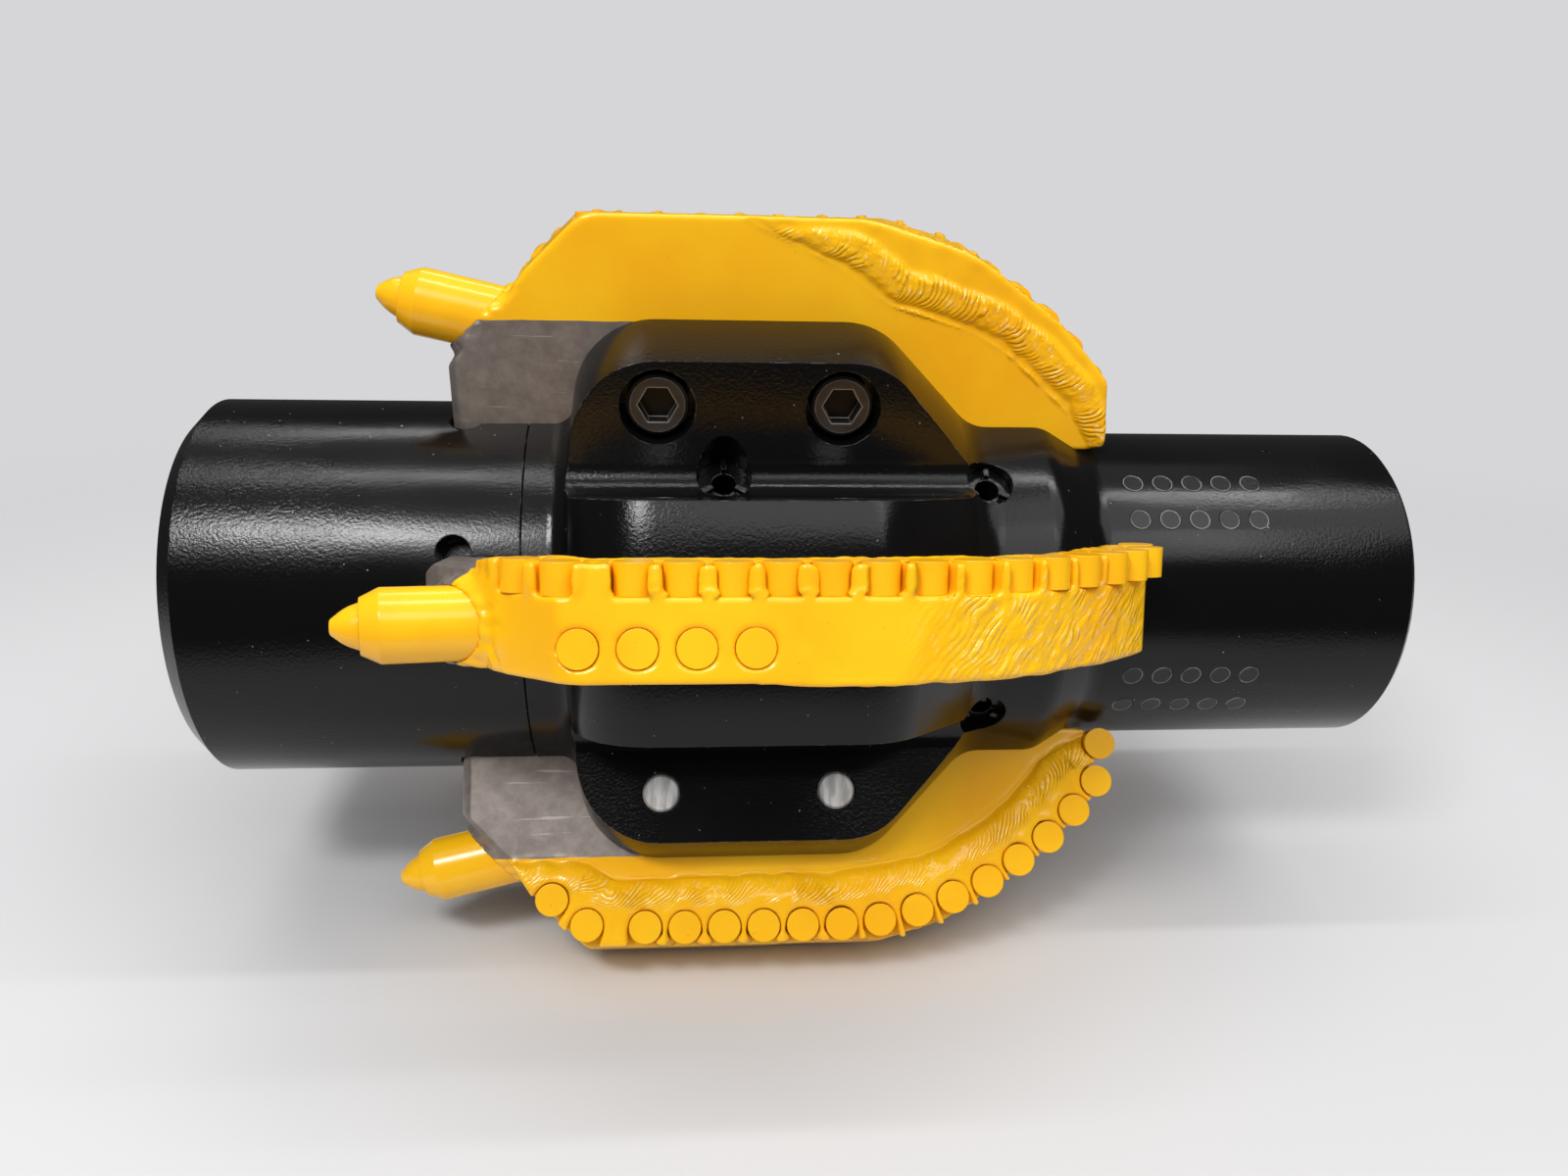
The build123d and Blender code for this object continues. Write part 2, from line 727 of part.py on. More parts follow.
def main():
    """Build every piece, lay the tool on its wings and write one file for each node."""
    nodes = {"body": body_piece(), "left_sub": left_sub_piece()}
    wing = wing_piece()
    cutters = cutter_row()
    gauge_inserts = gauge_insert_set()
    bit_body = bit_body_piece()
    bit_tip = bit_tip_piece()
    screws = screw_pair()
    nozzles = port_places()
    buttons = button_places()
    per_group = 2 * button_count
    for k in range(wing_count):
        number = k + 1
        nodes[f"wing_{number}"] = turn(wing, k)
        nodes[f"cutters_{number}"] = Compound(children=[turn(piece, k) for piece in cutters])
        nodes[f"gauge_inserts_{number}"] = Compound(children=[turn(piece, k) for piece in gauge_inserts])
        nodes[f"bit_body_{number}"] = turn(bit_body, k)
        nodes[f"bit_tip_{number}"] = turn(bit_tip, k)
        nodes[f"wing_screws_{number}"] = Compound(children=[turn(piece, k) for piece in screws])
        nodes[f"mid_nozzle_{number}"] = nozzle_piece(*nozzles[2 * k])
        nodes[f"front_nozzle_{number}"] = nozzle_piece(*nozzles[2 * k + 1])
        group = buttons[per_group * k:per_group * (k + 1)]
        nodes[f"wear_buttons_{number}"] = Compound(children=[wear_button(*place) for place in group])

    os.makedirs("parts", exist_ok=True)
    for name, shape in laid_down(nodes).items():
        export_step(shape, f"parts/{name}.step")


main()
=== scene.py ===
# %% [markdown]
# # A drilling reamer, dressed
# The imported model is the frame: every piece of it stands where the tool has it. This lesson gives
# the pieces their paint, their weld and their bare steel, and sets up a plain studio round them.

# %% The frame
from math import cos, pi, radians, sin

import bpy
import numpy as np
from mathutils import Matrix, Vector


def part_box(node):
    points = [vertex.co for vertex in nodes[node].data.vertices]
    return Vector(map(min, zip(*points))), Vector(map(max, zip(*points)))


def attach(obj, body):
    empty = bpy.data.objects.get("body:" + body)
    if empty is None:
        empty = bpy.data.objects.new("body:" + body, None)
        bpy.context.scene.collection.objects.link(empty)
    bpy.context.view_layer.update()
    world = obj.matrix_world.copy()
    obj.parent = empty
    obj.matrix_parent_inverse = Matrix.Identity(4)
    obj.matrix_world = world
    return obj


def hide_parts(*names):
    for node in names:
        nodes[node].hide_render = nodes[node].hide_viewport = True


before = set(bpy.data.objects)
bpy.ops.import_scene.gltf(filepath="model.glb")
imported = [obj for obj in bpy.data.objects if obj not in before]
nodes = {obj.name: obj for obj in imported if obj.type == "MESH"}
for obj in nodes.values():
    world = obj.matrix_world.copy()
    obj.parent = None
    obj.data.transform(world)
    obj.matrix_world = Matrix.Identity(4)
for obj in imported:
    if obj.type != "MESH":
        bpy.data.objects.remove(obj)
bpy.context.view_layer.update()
print("nodes:", len(nodes))

# %% [markdown]
# ## Where things are
# The tool lies along X. Its axis runs through the middle of the turned left end, so the box of
# that node gives the axis and the place of the left end face. A wing is described by three
# numbers: x along the tool from the left face, the radius r from the axis, and w across the wing
# towards its cutting side. The five wings stand at steps of 72 degrees from the upright one.

# %% Tool coordinates
mm = 0.001
left_low, left_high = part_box("left_sub")
left_face = left_low[0]
axis_y = (left_low[1] + left_high[1]) / 2
axis_z = (left_low[2] + left_high[2]) / 2
wing_count = 5
wing_step = 2 * pi / wing_count
tool_roll = radians(0.16632)


def wing_angle(number):
    """Angle of a wing from straight up, towards the far side; the tool lies a little rolled."""
    return wing_step * (number - 1) - tool_roll


def tool_point(number, x, r, w):
    """World place of a point given in a wing's x, r and w, in millimetres."""
    a = wing_angle(number)
    y = r * np.sin(a) + w * np.cos(a)
    z = r * np.cos(a) - w * np.sin(a)
    return np.stack(np.broadcast_arrays(left_face + x * mm, axis_y + y * mm, axis_z + z * mm), -1)


# %% [markdown]
# ## Shader maths as expressions
# A material is easier to read as a formula. The class below wraps one socket and turns +, - and *
# into Math nodes, so that 1 - mask is written as it is meant.

# %% A socket that can be calculated with
class Value:
    """A socket of a node tree that takes part in arithmetic."""

    def __init__(self, maker, socket):
        self.maker = maker
        self.socket = socket

    def math(self, operation, other=None, swap=False):
        """This value and another one through a Math node."""
        pair = (other, self) if swap else (self, other)
        inputs = {i: v for i, v in enumerate(pair) if v is not None}
        return self.maker.node("ShaderNodeMath", {"operation": operation}, inputs)[0]

    def __add__(self, other):
        return self.math("ADD", other)

    def __radd__(self, other):
        return self.math("ADD", other)

    def __sub__(self, other):
        return self.math("SUBTRACT", other)

    def __mul__(self, other):
        return self.math("MULTIPLY", other)

    def __rmul__(self, other):
        return self.math("MULTIPLY", other)

    def __rsub__(self, other):
        return self.math("SUBTRACT", other, swap=True)


class Finish:
    """A new material with a Principled surface, and one method that adds any other node."""

    def __init__(self, name, **constants):
        self.material = bpy.data.materials.new(name)
        self.material.use_nodes = True
        self.tree = self.material.node_tree
        self.surface = self.tree.nodes["Principled BSDF"]
        for socket, value in constants.items():
            self.surface.inputs[socket.replace("_", " ")].default_value = value

    def node(self, kind, settings, inputs):
        """Add a node: settings first, then values or links by socket name or number."""
        made = self.tree.nodes.new(kind)
        for key, value in settings.items():
            setattr(made, key, value)
        for key, value in inputs.items():
            if isinstance(value, Value):
                self.tree.links.new(value.socket, made.inputs[key])
            else:
                made.inputs[key].default_value = value
        return [Value(self, socket) for socket in made.outputs]

    def place(self):
        """Object coordinates, in metres."""
        return self.node("ShaderNodeTexCoord", {}, {})[3]

    def attribute(self, name):
        """A vector that the vertices carry."""
        return self.node("ShaderNodeAttribute", {"attribute_name": name}, {})[1]

    def split(self, vector):
        """The three parts of a vector."""
        return self.node("ShaderNodeSeparateXYZ", {}, {0: vector})

    def stretch(self, vector, factors):
        """A vector with each part multiplied by a factor of its own."""
        return self.node("ShaderNodeVectorMath", {"operation": "MULTIPLY"}, {0: vector, 1: factors})[0]

    def noise(self, scale, detail=2.0, place=None, roughness=0.5):
        """Noise from 0 to 1 with about that many features to a metre."""
        inputs = {"Vector": place or self.place(), "Scale": scale, "Detail": detail, "Roughness": roughness}
        return self.node("ShaderNodeTexNoise", {}, inputs)[0]

    def step(self, value, low, high):
        """0 below low, 1 above high, smooth between them."""
        return self.node("ShaderNodeMapRange", {"interpolation_type": "SMOOTHSTEP"},
                         {"Value": value, "From Min": low, "From Max": high})[0]

    def blend(self, factor, first, second):
        """Mix two colours by a factor."""
        return self.node("ShaderNodeMix", {"data_type": "RGBA"}, {0: factor, 6: first, 7: second})[2]

    def bump(self, height, distance, normal=None):
        """Normal of a height, which stands up to a distance in metres."""
        inputs = {"Height": height, "Distance": distance}
        if normal is not None:
            inputs["Normal"] = normal
        return self.node("ShaderNodeBump", {}, inputs)[0]

    def rounded(self, radius, samples=4):
        """Normal that rounds sharp edges to a radius."""
        return self.node("ShaderNodeBevel", {"samples": samples}, {"Radius": radius})[0]

    def edges(self, radius, low, high):
        """1 on sharp edges, 0 on flat ground, from a rounded normal against the real one."""
        rounded = self.rounded(radius, 6)
        real = self.node("ShaderNodeNewGeometry", {}, {})[1]
        alike = self.node("ShaderNodeVectorMath", {"operation": "DOT_PRODUCT"}, {0: rounded, 1: real})[1]
        return self.step(1 - alike, low, high)

    def feed(self, **links):
        """Link values to the surface's sockets."""
        for socket, value in links.items():
            self.tree.links.new(value.socket, self.surface.inputs[socket.replace("_", " ")])
        return self.material


def rgb(red, green, blue):
    """Linear colour, with full alpha, of an sRGB colour given from 0 to 255."""
    linear = (((c / 255 + 0.055) / 1.055) ** 2.4 if c > 10 else c / 3294 for c in (red, green, blue))
    return (*linear, 1)


# %% [markdown]
# ## Welded wings
# The wings come from the frame as clean solids. On the real tool most of their surface is weld and
# thick paint, so each wing gets a finely remeshed copy. Its vertices are kept as x, w and r, in
# millimetres, for one upright wing: that way every weld can be described once and turned five times.

# %% Smooth random fields
def lattice(cells, seed):
    """A random number from -1 to 1 for each whole-numbered cell."""
    x, y, z = (cells[:, i].astype(np.uint32) for i in range(3))
    mixed = x * np.uint32(374761393) + y * np.uint32(668265263) + z * np.uint32(2246822519)
    mixed = (mixed + np.uint32(seed * 40503 + 7)) * np.uint32(2654435761)
    mixed = (mixed ^ (mixed >> np.uint32(13))) * np.uint32(1274126177)
    mixed = mixed ^ (mixed >> np.uint32(16))
    return mixed.astype(float) / 2 ** 31 - 1


def field(points, size, seed=0):
    """Smooth noise from about -1 to 1, with features of a given size."""
    scaled = points / size
    base = np.floor(scaled).astype(np.int64)
    part = scaled - base
    part = part * part * (3 - 2 * part)
    total = np.zeros(len(points))
    for corner in np.ndindex(2, 2, 2):
        weight = np.prod(np.where(corner, part, 1 - part), axis=1)
        total += weight * lattice(base + corner, seed)
    return total


def ease(value, low, high):
    """0 below low, 1 above high, smooth between them."""
    t = np.clip((value - low) / (high - low), 0, 1)
    return t * t * (3 - 2 * t)


def window(value, low, high, soft):
    """1 between low and high, fading to 0 outside them over a soft width."""
    return ease(value, low - soft, low) * (1 - ease(value, high, high + soft))


# %% [markdown]
# The frame's mesh is loose triangles. Its doubles are joined, and a voxel skin over it gives the even,
# closed mesh that welds can be pushed out of. The skin is made once, from the upright wing.

# %% Into a wing and back
def into_wing(number, world):
    """World places as x, w and r of a wing, in millimetres."""
    a = wing_angle(number)
    x = world[:, 0] - left_face
    y = world[:, 1] - axis_y
    z = world[:, 2] - axis_z
    return np.stack((x, y * cos(a) - z * sin(a), y * sin(a) + z * cos(a)), -1) / mm


def remesh(places, faces, voxel):
    """A closed, evenly fine skin over a solid, as vertices and four-sided faces."""
    mesh = bpy.data.meshes.new("rough")
    mesh.from_pydata(places, [], faces)
    rough = bpy.data.objects.new("rough", mesh)
    bpy.context.scene.collection.objects.link(rough)
    modifier = rough.modifiers.new("skin", "REMESH")
    modifier.mode = "VOXEL"
    modifier.voxel_size = voxel
    fine = bpy.data.meshes.new_from_object(rough.evaluated_get(bpy.context.evaluated_depsgraph_get()))
    vertices = np.empty(len(fine.vertices) * 3)
    fine.vertices.foreach_get("co", vertices)
    corners = np.empty(len(fine.loops), int)
    fine.loops.foreach_get("vertex_index", corners)
    bpy.data.objects.remove(rough)
    bpy.data.meshes.remove(mesh)
    bpy.data.meshes.remove(fine)
    return vertices.reshape(-1, 3), corners.reshape(-1, 4)


def solid_of(name, number):
    """A CAD node's vertices in a wing's coordinates and its triangles, with doubles joined."""
    mesh = nodes[name].data
    places = np.empty(len(mesh.vertices) * 3)
    mesh.vertices.foreach_get("co", places)
    mesh.calc_loop_triangles()
    triangles = np.empty(len(mesh.loop_triangles) * 3, int)
    mesh.loop_triangles.foreach_get("vertices", triangles)
    local = into_wing(number, places.reshape(-1, 3))
    joined, where = np.unique(np.round(local, 3), axis=0, return_inverse=True)
    triangles = where.ravel()[triangles].reshape(-1, 3)
    a, b, c = triangles.T
    whole = (a != b) & (b != c) & (a != c)
    return joined, triangles[whole]


voxel_size = 1.42
skin, skin_faces = remesh(*solid_of("wing_1", 1), voxel_size)
print("wing skin:", len(skin), "vertices,", len(skin_faces), "faces")
skin_edges = np.concatenate([skin_faces[:, [i, (i + 1) % 4]] for i in range(4)])
skin_edges = np.unique(np.sort(skin_edges, axis=1), axis=0)


# %% [markdown]
# Two helpers work on the whole skin at once: one evens it out, the other gives its normals.

# %% Smoothing and normals
def relax(places, amount, rounds):
    """Move each vertex towards the mean of its neighbours, by an amount for each vertex."""
    first, second = skin_edges.T
    size = len(places)
    count = np.bincount(skin_edges.ravel(), minlength=size)
    for _ in range(rounds):
        sums = [np.bincount(first, places[second, i], size) + np.bincount(second, places[first, i], size)
                for i in range(3)]
        places = places + (np.stack(sums, -1) / count[:, None] - places) * amount[:, None]
    return places


def vertex_normals(places):
    """Unit normal at each vertex of the skin."""
    a, b, c, d = (places[skin_faces[:, i]] for i in range(4))
    across = np.cross(c - a, d - b)
    size = len(places)
    total = np.zeros((size, 3))
    for corner in skin_faces.T:
        for i in range(3):
            total[:, i] += np.bincount(corner, across[:, i], size)
    return total / np.maximum(np.linalg.norm(total, axis=1), 1e-9)[:, None]


# %% [markdown]
# The welds follow lines on the wing. A helper gives, for every vertex, how far it is from such a
# line and how far along the line that place is. Ripples of the weld then run across the line.

# %% Lines that the welds follow
leading_line = np.array([
    (186.0, 172.5), (199, 172), (226, 174), (240, 183), (262, 182), (372, 182.5),
    (405, 178), (436, 171), (460, 157), (482, 140), (502, 118), (512, 108), (530, 102),
])
trailing_line = np.array([
    (312, 236), (322, 229), (333, 221), (350, 214), (372, 205), (403, 184), (418, 181), (450, 170),
    (466, 163), (484, 149.5), (510, 127.5), (519, 111), (524, 102),
])
cutter_places = np.array([
    (205.0, 195.4), (225.3, 210.5), (259.3, 212.4), (282.8, 213.0), (305.8, 213.0), (329.2, 213.2),
    (352.0, 213.3), (374.8, 213.3), (398.0, 211.5), (421.0, 206.6), (442.8, 199.5), (464.3, 190.8),
    (484.0, 178.6), (503.3, 165.2), (520.3, 149.4), (535.5, 131.8), (539.0, 108.5),
])


def along_line(points, line):
    """Distance of each (x, r) point from a line, and its place along the line."""
    best = np.full(len(points), 1e9)
    place = np.zeros(len(points))
    start = 0.0
    for a, b in zip(line, line[1:]):
        span = b - a
        length = np.hypot(*span)
        t = np.clip(((points - a) @ span) / length ** 2, 0, 1)
        gap = np.hypot(*(points - a - t[:, None] * span).T)
        nearer = gap < best
        best = np.where(nearer, gap, best)
        place = np.where(nearer, start + t * length, place)
        start += length
    return best, place


# %% [markdown]
# The welds are made by hand, so nothing in them is even. Each of the functions below shapes one kind
# of weld and takes its unevenness from the smooth fields. The numbers are millimetres on the wing,
# read from the photograph: where a weld begins and ends, how far it stands up, and its ripple pitch.

# %% Overlays on the two faces
leading_face = 27.0
trailing_face = -22.0
rim_softness = (-0.5, 3)
facing_range = (0.2, 0.7)


def on_leading(w):
    """1 on the leading face and what stands on it."""
    return ease(w, leading_face + 0.15, leading_face + 0.8)


def on_trailing(w):
    """1 on the trailing face and what stands on it."""
    return ease(-w, 0.1 - trailing_face, 0.5 - trailing_face)


def scales(bow, pitch):
    """Height from 0 to 1 of ripples of a pitch, lying like fish scales along a weld."""
    return 1 - np.abs((bow / pitch % 1) * 2 - 1) ** 1.5


def leading_overlay(x, w, r, side, uneven, near):
    """A crowned pad: its move in w, the bowed place along it, and how rippled it is."""
    away, along = along_line(np.stack((x, r), -1), leading_line)
    rim = away + 1.5 * field(uneven, 8, 1) + 1.4 * field(uneven, 22, 2) - 0.6
    crown = np.sqrt(np.clip(rim / 13, 0, 1)) * ease(rim, *rim_softness)
    on_face = on_leading(w)
    facing = ease(side, *facing_range)
    bow = along + 0.4 * away + 0.05 * (away - 6) ** 2 + 3.5 * field(uneven, 17, 3)
    belt = window(rim, 2, 15, 5) * (0.35 + 0.65 * ease(field(uneven, 30, 4), -0.5, 0.3))
    lumps = 0.9 * field(uneven, 15, 5) * ease(near, 1, 8) + 0.35 * field(uneven, 5, 6) * ease(near, 1, 6)
    groove = 0.3 * window(near, 0, 0.6, 1.6)
    lift = facing * crown * (0.6 * (scales(bow, 9.5) - 0.5) * belt + lumps - groove)
    lift -= (w - leading_face) * (1 - crown)
    return on_face * lift, bow, on_face * facing * crown * belt


def trailing_overlay(x, w, r, side, uneven):
    """A thin overlay, thicker along its rippled rim: the same three values."""
    away, along = along_line(np.stack((x, r), -1), trailing_line)
    rim = away + 1.3 * field(uneven, 7, 11) + 1.5 * field(uneven, 20, 12) - 0.5
    crown = np.sqrt(np.clip(rim / 9, 0, 1)) * ease(rim, *rim_softness)
    on_face = on_trailing(w)
    facing = ease(-side, *facing_range)
    bow = along - 0.5 * away + 0.045 * (away - 7) ** 2 + 3.0 * field(uneven, 15, 13)
    belt = window(rim, 2, 16, 5) * (1 - ease(r, 219, 226))
    rise = belt * (1.7 * crown + 0.5 * facing * (scales(bow, 8.5) - 0.5))
    rise += 0.65 * facing * crown * (field(uneven, 10, 14) - 0.5) * (1 - ease(r, 226, 229))
    sink = (w - trailing_face) * (1 - crown)
    return -on_face * (sink + rise), bow, on_face * facing * crown * belt


# %% [markdown]
# The outer face of a wing carries strokes of weld towards its end, nubs over the cutters, and weld that
# has run sideways over the shoulders of the cutters.

# %% Gauge face and cutters
stroke_slant = radians(52)
stroke_stretch = 5.0
nub_height = 1.9


def across_strokes(x, w):
    """Place across the slanting strokes on the gauge face."""
    return w * cos(stroke_slant) - x * sin(stroke_slant)


def gauge_strokes(x, w, r, up, uneven, shift):
    """Weld run over the gauge face: its move outwards, where it lies, and where it is hatched."""
    along = x * cos(stroke_slant) + w * sin(stroke_slant)
    stroke = np.stack((along, across_strokes(x, w) * stroke_stretch, r), -1) + shift
    on_gauge = ease(up, 0.35, 0.8) * ease(w, -23.5, -20) * ease(x + 5 * field(uneven, 12, 21), 334, 342)
    rough = ease(x, 378, 430) * (1 - 0.6 * ease(w, 14, 24))
    relief = 0.45 * field(uneven, 17, 22)
    relief += rough * (0.85 * field(stroke, 11, 23) + 0.3 * field(uneven, 3.5, 24))
    return on_gauge * (relief - 0.35), on_gauge, on_gauge * rough


def cutter_nubs(w, up, near, uneven):
    """Nubs of weld on the gauge face over each cutter, as a move outwards."""
    nubs = ease(-near, -9.6, -6.2) * ease(w, 15, 24) * ease(up, 0.25, 0.6)
    return nub_height * nubs * (0.7 + 0.5 * field(uneven, 21, 25))


def shoulder_lips(x, w, r, aside, uneven):
    """How far weld has run towards each cutter of the straight row, over its shoulders."""
    beside = np.abs(aside)
    lip = ease(beside, 9.3, 9.8) * (1 - ease(beside, 10.1, 11.2)) * ease(r, 216, 221) * ease(w, 14.5, 19)
    lip *= (1 - ease(x, 398, 425)) * ease(x, 240, 262) * (3.4 + 1.2 * field(uneven, 13, 26))
    return -np.sign(aside) * lip


# %% [markdown]
# Where the bit stands on the wing's shoulder, a scalloped bead runs round its foot.

# %% Bead round the foot of the bit
bit_point = np.array([111.5, -1.0, 181.8])
bit_tilt = radians(12.5)
bit_axis = np.array([cos(bit_tilt), 0, -sin(bit_tilt)])
scallops = 16


def foot_bead(places, uneven):
    """The scalloped bead: its move outwards and where it lies."""
    x, w, r = places.T
    from_point = places - bit_point
    side = from_point - (from_point @ bit_axis)[:, None] * bit_axis
    ring = np.linalg.norm(side, axis=1)
    turn = np.arctan2(side[:, 1], side[:, 2] * bit_axis[0] - side[:, 0] * bit_axis[2])
    above_shoulder = (r - x + 6.0) / 2 ** 0.5
    on_bead = ease(above_shoulder, -0.5, 1.0) * (1 - ease(ring, 31, 35)) * ease(ring, 19.3, 21) * (x < 205)
    scallop = np.abs(np.sin(turn * scallops / 2 + 1.5 * field(uneven, 12, 31)))
    return on_bead * (1.3 * (scallop - 0.5) + 0.7 * field(uneven, 7, 32)), on_bead


# %% [markdown]
# Now one wing can be put together. The moves are added up and the skin is pushed by them. Three marks
# stay with each vertex for the material: the phase of the fine ripples, how strongly they show, and
# the distance to the nearest cutter. The two wings on the floor get no nubs, so that they rest flat.

# %% One wing's weld and paint
cutter_reach = 9.6
resting_wings = (3, 4)
leading_ripple = 3.3
trailing_ripple = 3.1
hatch_pitch = 3.4
no_cutter = 9.0


def welded(number):
    """The skin with its weld relief, as x, w and r, and the marks that its material draws."""
    x, w, r = skin.T
    shift = np.array([0, 0, 40.0 * number])
    uneven = skin + shift
    out = vertex_normals(skin)
    up = out[:, 2]
    reach = np.array([np.hypot(x - cutter_x, r - cutter_r) for cutter_x, cutter_r in cutter_places])
    near = reach.min(axis=0) - cutter_reach
    aside = x - cutter_places[reach.argmin(axis=0), 0]

    lead_move, lead_bow, lead_rippled = leading_overlay(x, w, r, out[:, 1], uneven, near)
    back_move, back_bow, back_rippled = trailing_overlay(x, w, r, out[:, 1], uneven)
    gauge_move, on_gauge, hatched = gauge_strokes(x, w, r, up, uneven, shift)
    bead_move, on_bead = foot_bead(skin, uneven)
    outwards = gauge_move + bead_move
    if number not in resting_wings:
        outwards += cutter_nubs(w, up, near, uneven)
    painted = (r >= 171) | (x >= 256)
    outwards += (0.10 * field(uneven, 26, 41) + 0.05 * field(uneven, 9, 42)) * painted * (up < 0.9)
    spot = skin + out * outwards[:, None]
    spot[:, 0] += shoulder_lips(x, w, r, aside, uneven)
    spot[:, 1] += lead_move + back_move

    welds = np.clip(on_leading(w) + on_trailing(w) + on_gauge + on_bead, 0, 1)
    x, w = spot.T[:2]
    strokes = across_strokes(x, w) / hatch_pitch + 0.9 * field(uneven, 10, 52)
    phase = np.where(w > 0, lead_bow / leading_ripple, back_bow / trailing_ripple)
    phase += 0.35 * field(uneven, 4.5, 51)
    phase = np.where(hatched > 0.02, strokes, phase)
    rippled = np.maximum(np.where(w > 0, lead_rippled, back_rippled), 0.65 * hatched)
    marks = np.stack((phase, rippled, np.where(w > 20, near, no_cutter)), -1)
    return relax(spot, 0.12 + 0.2 * welds, 2), marks


# the lug stays square, the rest loses its voxel steps
plate_middle = 2.5
lug = (skin[:, 2] < 176) & (np.abs(skin[:, 1] - plate_middle) < 24.6)
skin = relax(skin, np.where(lug, 0.15, 0.55), 3)

# %% [markdown]
# ## Black paint
# The body is sprayed in one thick coat of black. Paint like that is smooth but not flat: it dries
# with a fine orange-peel texture that breaks every highlight into grains.

# %% Black body paint
black = rgb(11, 11, 12)
dusty_black = rgb(17, 17, 16)
button_black = rgb(16, 16, 16)
scuffed_edge_and_highlight = rgb(165, 160, 154)
fleck = rgb(190, 185, 178)
rubbed_rim_and_highlight = rgb(168, 164, 158)
grain_scale = 560


def black_paint():
    """Semi-gloss black with orange peel, a few flecks, and pale edges that are partly scuffs and partly a
    painted highlight.
    """
    paint = Finish("black_paint", Specular_IOR_Level=0.28)
    cloud = paint.noise(9, 3)
    colour = paint.blend(paint.step(cloud, 0.45, 0.8), black, dusty_black)
    broken = paint.step(paint.noise(120, 3, roughness=0.7), 0.5, 0.62)
    # pale edges: partly scuffed paint, partly a painted highlight along the sharp edges
    scuffs_and_edge_highlight = paint.edges(0.7 * mm, 0.05, 0.2) * broken
    colour = paint.blend(scuffs_and_edge_highlight * 0.65, colour, scuffed_edge_and_highlight)
    flecks = paint.step(paint.noise(380, 1), 0.795, 0.82)
    colour = paint.blend(flecks * 0.45, colour, fleck)
    peel = paint.step(paint.noise(6, 2), 0.42, 0.6)
    grain = paint.noise(grain_scale, 2) * 0.8 + paint.noise(1500, 2) * 0.3
    normal = paint.bump(grain * (0.35 + peel * 0.65), 0.24 * mm, paint.rounded(1.0 * mm))
    return paint.feed(Base_Color=colour, Normal=normal, Roughness=0.10 + cloud * 0.12)


def button_paint():
    """The same black on the wear buttons, with pale rims that are partly rubbed and partly a painted
    highlight.
    """
    paint = Finish("button_paint", Specular_IOR_Level=0.4, Roughness=0.2)
    # pale rims: partly rubbed paint, partly a painted highlight round each button
    rim_wear_and_highlight = paint.edges(1.3 * mm, 0.02, 0.12) * paint.step(paint.noise(90, 2), 0.3, 0.55)
    colour = paint.blend(rim_wear_and_highlight * 0.8, button_black, rubbed_rim_and_highlight)
    return paint.feed(Base_Color=colour, Normal=paint.bump(paint.noise(grain_scale, 2), 0.1 * mm))


# %% [markdown]
# ## Yellow paint and bare steel
# The wings are painted over plate, weld and cutters alike. The coat is glossy. Fine weld ripples are
# drawn as bump from the marks that the vertices carry. The lugs are left bare below a masked line,
# which can be drawn in the material because the vertices also carry their x, w and r.

# %% Yellow wing paint
yellow = rgb(253, 192, 22)
deep_yellow = rgb(250, 180, 15)
speck_brown = rgb(120, 80, 20)
painted_crest_highlight = rgb(255, 240, 190)
painted_ring_shade = rgb(112, 66, 14)


def yellow_coat(paint):
    """Colour, normal and roughness of the plain glossy coat."""
    cloud = paint.noise(16, 3)
    specks = paint.step(paint.noise(420, 2), 0.735, 0.76)
    colour = paint.blend(paint.step(cloud, 0.35, 0.7), yellow, deep_yellow)
    colour = paint.blend(specks * 0.25, colour, speck_brown)
    normal = paint.bump(paint.noise(700, 2), 0.02 * mm, paint.rounded(0.9 * mm))
    return colour, normal, cloud * 0.08


def yellow_paint():
    """Glossy yellow for the cutters, inserts and bits."""
    paint = Finish("yellow_paint")
    colour, normal, unevenness = yellow_coat(paint)
    return paint.feed(Base_Color=colour, Normal=normal, Roughness=0.16 + unevenness)


# %% [markdown]
# On a wing the coat gets more: ripples with painted highlights on their crests, a painted shadow ring round
# each cutter, and the lug with a painted highlight on its edges.

# %% Weld marks and bare lug
dark_steel = rgb(130, 121, 115)
pale_steel = rgb(156, 146, 139)
bright_scratch = rgb(225, 220, 214)
lug_edge_highlight = rgb(222, 219, 214)
mask_radius = 172.2
mask_end = 256


def lug_steel(paint, spot):
    """Colour and roughness of the bare lug, with long scratches and a painted highlight along its edges."""
    shade = paint.noise(90, 4, roughness=0.7)
    turned = paint.node("ShaderNodeVectorRotate", {"rotation_type": "EULER_XYZ"},
                        {"Vector": paint.stretch(spot, (0.02, 0.5, 0.32)), "Rotation": (0, 0.5, 0)})[0]
    scratch = paint.step(paint.noise(1.0, 3, place=turned), 0.66, 0.72)
    steel = paint.blend(paint.step(shade, 0.3, 0.75), dark_steel, pale_steel)
    steel = paint.blend(scratch * 0.35, steel, bright_scratch)
    # painted highlight: pale edges standing in for the lit bevels of the lug
    steel = paint.blend(paint.edges(1.4 * mm, 0.03, 0.15) * 0.8, steel, lug_edge_highlight)
    return steel, 0.38 + shade * 0.12


